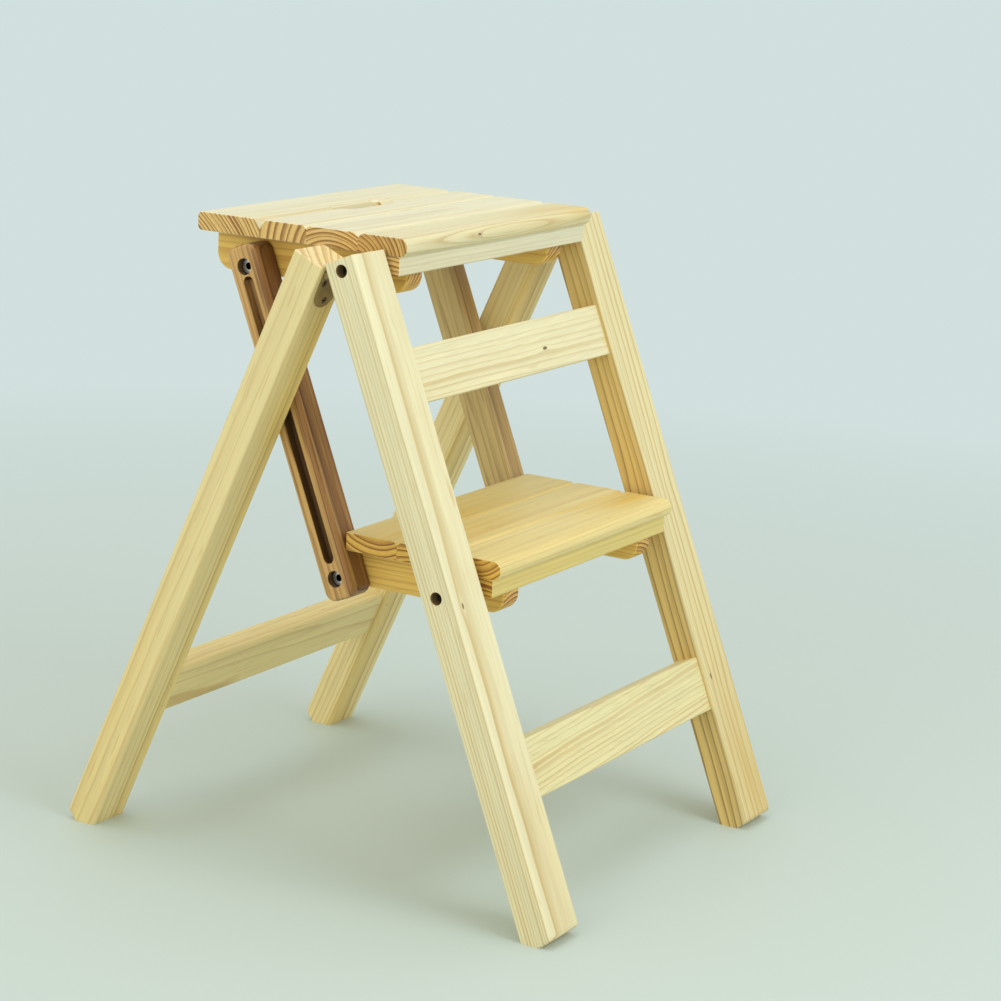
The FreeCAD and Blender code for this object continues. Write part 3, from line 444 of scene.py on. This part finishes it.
def dress_frames():
    """Legs and rails: fine lines on the outer faces, long figure on the front ones."""
    clothe(wood("pine_front_leg_left", "front_leg_left", ALONG_FRONT, X_AXIS,
                (0.020, 0.170), 0.0030, FRONT_PINE, lines=0.78, wander=0.004, warmth=-0.12,
                bores=LEG_BORES,
                knots=(((-0.0105, -0.0142, -0.0088), 0.0013),),
                stains_and_shade=(((0.012, -0.014, -0.200), 0.075, 0.009, 0.45),)), "front_leg_left")
    # painted shade on the right front leg: darker overall, and darker towards the floor in two
    # low patches
    clothe(wood("pine_front_leg_right", "front_leg_right", ALONG_FRONT, X_AXIS,
                (-0.060, 0.045), 0.0060, SHADED_RIGHT_PINE, lines=0.60, wander=0.013, core=0.067,
                bores=LEG_BORES,
                knots=(((-0.0143, -0.0143, -0.1429), 0.0013),),
                stains_and_shade=(((0.010, -0.014, -0.200), 0.130, 0.030, 0.9),
                        ((0.000, -0.014, -0.240), 0.060, 0.030, 0.8))), "front_leg_right")
    clothe(wood("pine_rear_leg_left", "rear_leg_left", ALONG_REAR, X_AXIS,
                (0.055, -0.040), 0.0070, REAR_PINE, lines=0.40, wander=0.007, warmth=0.05,
                core=0.054, stains_and_shade=(((0.006, -0.0145, 0.130), 0.120, 0.014, 0.75),
                                    ((-0.020, 0.004, -0.190), 0.150, 0.020, 0.45))),
           "rear_leg_left")
    clothe(wood("pine_rear_leg_right", "rear_leg_right", ALONG_REAR, X_AXIS,
                (-0.010, -0.052), 0.0056, LIT_BACK_PINE, lines=0.40, wander=0.008, warmth=0.02,
                core=0.043), "rear_leg_right")
    clothe(wood("pine_upper_rail", "upper_front_rail", Vector((1.0, 0.05, 0.03)), Y_AXIS,
                (0.030, -0.075), 0.0040, FRONT_PINE, lines=0.58, wander=0.005,
                knots=(((-0.0130, -0.0010, 0.0465), 0.0017),)), "upper_front_rail")
    clothe(wood("pine_lower_rail", "lower_front_rail", Vector((1.0, -0.05, 0.03)), Y_AXIS,
                (0.030, -0.090), 0.0036, RAIL_PINE, lines=0.62, wander=0.007, warmth=0.04),
           "lower_front_rail")
    clothe(wood("pine_rear_rail", "rear_rail", Vector((1.0, 0.0, 0.03)), Y_AXIS,
                (0.062, 0.014), 0.0060, LIT_BACK_PINE, lines=0.52, wander=0.008, warmth=0.14),
           "rear_rail")


def dress_seat():
    """Seat boards: each end shows its own part of a log, and the nose a long pale lens."""
    nose = ((-0.0230, 0.0, 0.006), 0.085, 0.0080, 2.0)
    ambers = (((-0.0230, -0.001, 0.020), 0.085, 0.006, 0.35),
              ((-0.0230, -0.002, 0.075), 0.030, 0.006, 0.60),
              ((-0.0180, 0.005, 0.130), 0.026, 0.010, 0.85),
              ((-0.0040, 0.0075, 0.100), 0.060, 0.014, 0.60))
    clothe(wood("pine_seat_board_1", "seat_board_1", X_AXIS, Y_AXIS, (0.024, -0.013), 0.0036,
                NOSE_PINE, lines=0.66, wander=0.004, ovals=(nose,),
                knots=(((-0.0230, 0.0018, -0.0372), 0.0012),), stains_and_shade=ambers), "seat_board_1")
    hearts = {"seat_board_2": ((0.0, -0.036), 0.0032), "seat_board_3": ((-0.075, -0.025), 0.0062),
              "seat_board_4": ((0.078, -0.058), 0.0034)}
    for node, (heart, ring) in hearts.items():
        clothe(wood("pine_" + node, node, X_AXIS, Y_AXIS, heart, ring, PALE_PINE,
                    lines=0.34, wander=0.004), node)
    clothe(wood("pine_seat_lip", "seat_lip", X_AXIS, Y_AXIS, (0.0, -0.09), 0.004, PALE_PINE,
                lines=0.30), "seat_lip")


def dress_step():
    """Step boards in golden wood with amber clouds near their ends."""
    boards = {"step_board_1": ((0.004, 0.030), 0.0044, ((0.010, 0.0075, 0.125), 0.070, 0.016)),
              "step_board_2": ((0.006, -0.038), 0.0046, ((0.004, 0.0075, -0.085), 0.090, 0.014)),
              "step_board_3": ((0.0, 0.048), 0.0060, ((-0.004, 0.0075, -0.070), 0.100, 0.024))}
    for node, (heart, ring, (spot, length, width)) in boards.items():
        clothe(wood("pine_" + node, node, X_AXIS, Y_AXIS, heart, ring, GOLD_PINE, lines=0.42,
                    wander=0.006, warmth=0.14, stains_and_shade=((spot, length, width, 0.90),)), node)
    clothe(wood("pine_step_lip", "step_lip", X_AXIS, Y_AXIS, (0.0, -0.08), 0.004, LIP_PINE,
                lines=0.35), "step_lip")


def dress_battens():
    """Battens in amber wood, each from another place in its log."""
    for number, node in enumerate(("seat_batten_left", "seat_batten_right",
                                   "step_batten_left", "step_batten_right")):
        clothe(wood("pine_" + node, node, Y_AXIS, X_AXIS, (0.05 - 0.02 * number, 0.04), 0.0034,
                    AMBER_PINE, lines=0.60, wander=0.006, warmth=0.10), node)


def dress_links():
    """Side links of streaked brown wood: tan outer faces, the left one red brown in front.
    Painted shade lies at the top and bottom of the left link's front face, at the top of the
    right one's, and in both links' grooves and bores.
    """
    # painted shade with a reddish tint, at the top and bottom of the left link's front face
    red_painted_shade = (((0.014, -0.018, 0.125), 0.080, 0.019, 1.0),
            ((0.014, -0.018, -0.135), 0.045, 0.017, 0.90))
    clothe(wood("acacia_side_link_left", "side_link_left", ALONG_FRONT, X_AXIS,
                (0.010, -0.050), 0.0075, ACACIA, lines=0.55, wander=0.007, core=0.047,
                stains_and_shade=red_painted_shade, figure=0.70, recess=-1.0), "side_link_left")
    clothe(wood("acacia_side_link_right", "side_link_right", ALONG_FRONT, X_AXIS,
                (0.020, -0.045), 0.0075, TAN_ACACIA, lines=0.50, wander=0.010, core=0.042,
                # painted shade at the top of the right link's front face, under the seat
                stains_and_shade=(((0.0, -0.014, 0.110), 0.060, 0.016, 0.8),), figure=0.55,
                recess=1.0), "side_link_right")


def dress_fittings():
    """Bronze hinges, bright and dark steel, and the hidden dowels."""
    clothe(bronze("bronze_hinge"), "front_hinge_leaf_left", "front_hinge_leaf_right",
           "rear_hinge_leaf_left", "rear_hinge_leaf_right", "hinge_pins")
    clothe(bronze("bronze_screws", BRONZE_DARK, BRONZE), "front_hinge_screws",
           "rear_hinge_screws")
    clothe(steel("bright_steel", STEEL, STEEL_DULL), "pivot_spacers", "pivot_nuts",
           "upper_link_washers", "upper_link_nuts", "lower_link_washers", "lower_link_nuts",
           "seat_batten_screws", "step_batten_screws", "rear_rail_brads")
    for node in ("upper_link_bolts", "lower_link_bolts"):
        clothe(steel("steel_" + node, STEEL, STEEL_DULL, centre_of(node)), node)
    clothe(steel("dark_steel", STEEL_DARK, STEEL_DULL), "seat_pivot_bolts", "step_pivot_bolts")
    for node in ("front_rail_dowels", "rear_rail_dowels"):
        clothe(wood("beech_" + node, node, X_AXIS, Y_AXIS, (0.02, 0.03), 0.0016, BEECH,
                    lines=0.4), node)


def make_floor():
    """A pale round floor that fades into the background far from the stool."""
    angles = [2 * math.pi * k / FLOOR_SIDES for k in range(FLOOR_SIDES)]
    points = [(FLOOR_RADIUS * math.cos(a), FLOOR_RADIUS * math.sin(a), 0.0) for a in angles]
    mesh = bpy.data.meshes.new("studio_floor")
    mesh.from_pydata(points, [], [list(range(FLOOR_SIDES))])
    floor = bpy.data.objects.new("studio_floor", mesh)
    bpy.context.scene.collection.objects.link(floor)
    graph = Graph("studio_floor")
    place = graph.add("ShaderNodeTexCoord", {}).outputs["Object"]
    fade = graph.spread(graph.measure("LENGTH", place), FLOOR_FADE_START, FLOOR_FADE_END)
    paint = graph.add("ShaderNodeBsdfPrincipled", {
        "Base Color": (*FLOOR_COLOUR, 1.0), "Roughness": 0.6}).outputs[0]
    glow = graph.add("ShaderNodeEmission", {"Color": (*BACKGROUND, 1.0)}).outputs[0]
    blend = graph.add("ShaderNodeMixShader", {0: fade, 1: paint, 2: glow}).outputs[0]
    graph.add("ShaderNodeOutputMaterial", {"Surface": blend})
    mesh.materials.append(graph.material)


def make_world():
    """Even soft light; the camera and gloss see the pale background."""
    world = bpy.data.worlds.new("studio")
    bpy.context.scene.world = world
    world.use_nodes = True
    tree = world.node_tree
    tree.nodes.clear()
    path = tree.nodes.new("ShaderNodeLightPath")
    seen = tree.nodes.new("ShaderNodeMath")
    seen.operation = "MAXIMUM"
    tree.links.new(path.outputs["Is Camera Ray"], seen.inputs[0])
    tree.links.new(path.outputs["Is Glossy Ray"], seen.inputs[1])
    light = tree.nodes.new("ShaderNodeBackground")
    light.inputs["Color"].default_value = (*WORLD_LIGHT, 1.0)
    light.inputs["Strength"].default_value = WORLD_STRENGTH
    view = tree.nodes.new("ShaderNodeBackground")
    view.inputs["Color"].default_value = (*BACKGROUND, 1.0)
    view.inputs["Strength"].default_value = 1.0
    blend = tree.nodes.new("ShaderNodeMixShader")
    tree.links.new(seen.outputs[0], blend.inputs[0])
    tree.links.new(light.outputs[0], blend.inputs[1])
    tree.links.new(view.outputs[0], blend.inputs[2])
    output = tree.nodes.new("ShaderNodeOutputWorld")
    tree.links.new(blend.outputs[0], output.inputs["Surface"])


def make_lights():
    """The soft round lamps."""
    for name, place, size, power, colour in LAMPS:
        lamp = bpy.data.lights.new(name, "AREA")
        lamp.shape = "DISK"
        lamp.size = size
        lamp.energy = power
        lamp.color = colour
        holder = bpy.data.objects.new(name, lamp)
        bpy.context.scene.collection.objects.link(holder)
        holder.location = place
        aim = Vector(LAMP_TARGET) - Vector(place)
        holder.rotation_euler = aim.to_track_quat("-Z", "Y").to_euler()


def make_camera():
    """The photograph's camera, from its place, direction and roll."""
    lens = bpy.data.cameras.new("camera")
    lens.sensor_width = CAMERA_SENSOR
    lens.lens = CAMERA_LENS
    camera = bpy.data.objects.new("camera", lens)
    bpy.context.scene.collection.objects.link(camera)
    ahead = Vector((math.sin(CAMERA_YAW) * math.cos(CAMERA_PITCH),
                    math.cos(CAMERA_YAW) * math.cos(CAMERA_PITCH), math.sin(CAMERA_PITCH)))
    level = Vector((math.cos(CAMERA_YAW), -math.sin(CAMERA_YAW), 0.0))
    upright = level.cross(ahead)
    right = level * math.cos(CAMERA_ROLL) + upright * math.sin(CAMERA_ROLL)
    up = upright * math.cos(CAMERA_ROLL) - level * math.sin(CAMERA_ROLL)
    turn = Matrix((right, up, -ahead)).transposed().to_4x4()
    camera.matrix_world = Matrix.Translation(Vector(CAMERA_PLACE)) @ turn
    bpy.context.scene.camera = camera


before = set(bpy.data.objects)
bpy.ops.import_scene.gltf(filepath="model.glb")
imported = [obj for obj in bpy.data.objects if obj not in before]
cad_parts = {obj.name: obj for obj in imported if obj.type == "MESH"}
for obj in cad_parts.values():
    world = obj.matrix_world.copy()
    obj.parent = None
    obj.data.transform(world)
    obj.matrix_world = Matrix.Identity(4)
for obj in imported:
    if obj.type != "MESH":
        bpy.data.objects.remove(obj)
for stray in ("Cube", "Light", "Camera"):
    if stray in bpy.data.objects:
        bpy.data.objects.remove(bpy.data.objects[stray])
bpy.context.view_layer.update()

bpy.context.scene.view_settings.view_transform = "Standard"
dress_frames()
dress_seat()
dress_step()
dress_battens()
dress_links()
dress_fittings()
make_floor()
make_world()
make_lights()
make_camera()
